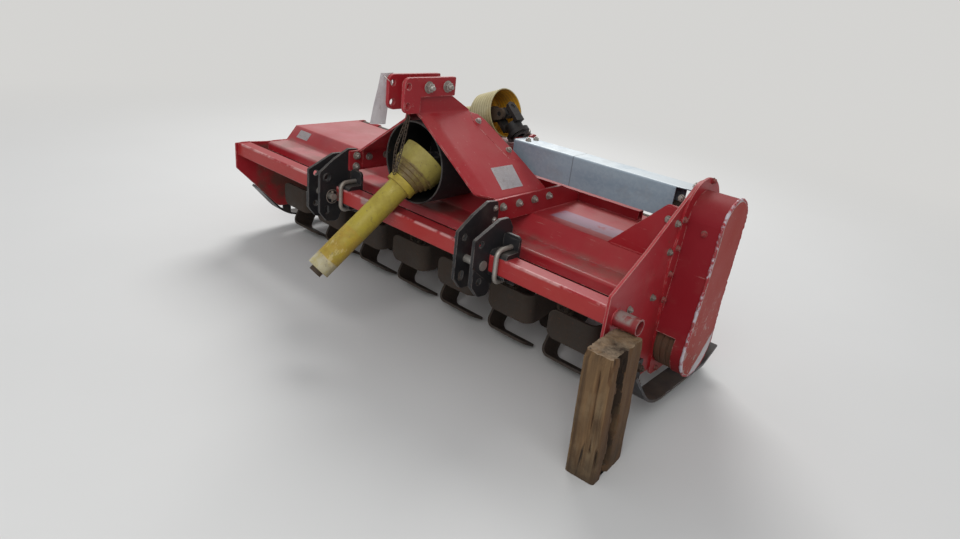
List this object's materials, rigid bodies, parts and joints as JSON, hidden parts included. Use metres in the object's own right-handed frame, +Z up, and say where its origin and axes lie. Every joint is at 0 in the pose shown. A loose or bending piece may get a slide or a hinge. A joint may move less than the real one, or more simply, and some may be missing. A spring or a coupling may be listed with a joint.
{
  "type": "rotary tiller",
  "caption": "Tractor-mounted rotary tiller with hooded tine rotor, chain case, three-point mast, hinged tailboard and a driveshaft half.",
  "frame": {"origin": "centre of the upper top-link hole, midway between the two mast top plates", "axes": "+X across the machine towards the chain case, +Y towards the rear, +Z up"},
  "size_m": [1.8683, 0.9693, 0.803],
  "materials": {
    "black_paint": "satin, dusty",
    "cast_iron": "painted casting",
    "dirty_steel": "worn, soil-stained",
    "galvanised": "spangled zinc",
    "red_paint": "semi-gloss, faded",
    "rust": "rusted",
    "timber": "weathered, split",
    "yellow_plastic": "dirty, sun-faded",
    "zinc": "zinc plated"
  },
  "bodies": {
    "frame": {"case_hub": "rust", "chain_case_back": "red_paint", "chain_case_cover": "red_paint", "deck_bracket_left": "red_paint", "deck_bracket_right": "red_paint", "end_plate_left": "red_paint", "end_plate_right": "red_paint", "gearbox": "cast_iron", "gusset": "red_paint", "hitch_inner_left": "black_paint", "hitch_inner_right": "black_paint", "hitch_outer_left": "black_paint", "hitch_outer_right": "black_paint", "hitch_pin_left": "zinc", "hitch_pin_right": "zinc", "hood": "red_paint", "input_guard": "black_paint", "input_yoke": "black_paint", "leg_strips": "red_paint", "lift_bracket_left": "red_paint", "lift_bracket_right": "red_paint", "mast_leg_left": "red_paint", "mast_leg_right": "red_paint", "rear_bar": "red_paint", "rotor_hub_left": "cast_iron", "saddles": "black_paint", "side_shaft": "dirty_steel", "side_shaft_guard": "galvanised", "skid_left": "black_paint", "skid_right": "black_paint", "spare_shaft": "dirty_steel", "spare_shield": "yellow_plastic", "spare_yoke": "black_paint", "stub_pipe": "red_paint", "tailboard_hinge_rod": "zinc", "timber_post": "timber", "toolbar": "red_paint", "top_plate_left": "red_paint", "top_plate_right": "red_paint", "u_bolts": "zinc"},
    "rotor": {"rotor_tube": "dirty_steel", "tines": "dirty_steel"},
    "tailboard": {"tailboard": "red_paint"},
    "lift_rod": {"lift_rod": "zinc"},
    "lift_swivel": {"lift_swivel": "dirty_steel"},
    "joint_cross": {"joint_cross": "dirty_steel"},
    "driveshaft": {"profile_tube": "dirty_steel", "shaft_yoke": "black_paint", "shield_bell": "yellow_plastic", "shield_collar": "yellow_plastic", "shield_tube": "yellow_plastic"}
  },
  "joints": [
    {"name": "rotor_spin", "type": "hinge", "parent": "frame", "child": "rotor", "pos_m": [0, 0.377, -0.57173], "axis": [1, 0, 0], "continuous": true},
    {"name": "tailboard_lift", "type": "hinge", "parent": "frame", "child": "tailboard", "pos_m": [0, 0.625, -0.344], "axis": [1, 0, 0], "range_deg": [0, 65]},
    {"name": "lift_rod_eye", "type": "hinge", "parent": "tailboard", "child": "lift_rod", "pos_m": [0, 0.719, -0.55], "axis": [1, 0, 0], "range_deg": [-23.43, 0.2]},
    {"name": "lift_swivel_turn", "type": "hinge", "parent": "frame", "child": "lift_swivel", "pos_m": [0, 0.609, -0.202], "axis": [1, 0, 0], "range_deg": [-0.2, 41.97]},
    {"name": "shaft_raise", "type": "hinge", "parent": "frame", "child": "joint_cross", "pos_m": [0, 0.119, -0.23], "axis": [-1, 0, 0], "range_deg": [0, 58]},
    {"name": "shaft_swing", "type": "hinge", "parent": "joint_cross", "child": "driveshaft", "pos_m": [0, 0.119, -0.23], "axis": [0, -0.682, 0.7314], "range_deg": [-5, 25]}
  ],
  "couplings": [
    {"joint": "lift_rod_eye", "follows": "tailboard_lift", "ratio": -0.3574},
    {"joint": "lift_swivel_turn", "follows": "tailboard_lift", "ratio": 0.6426}
  ]
}
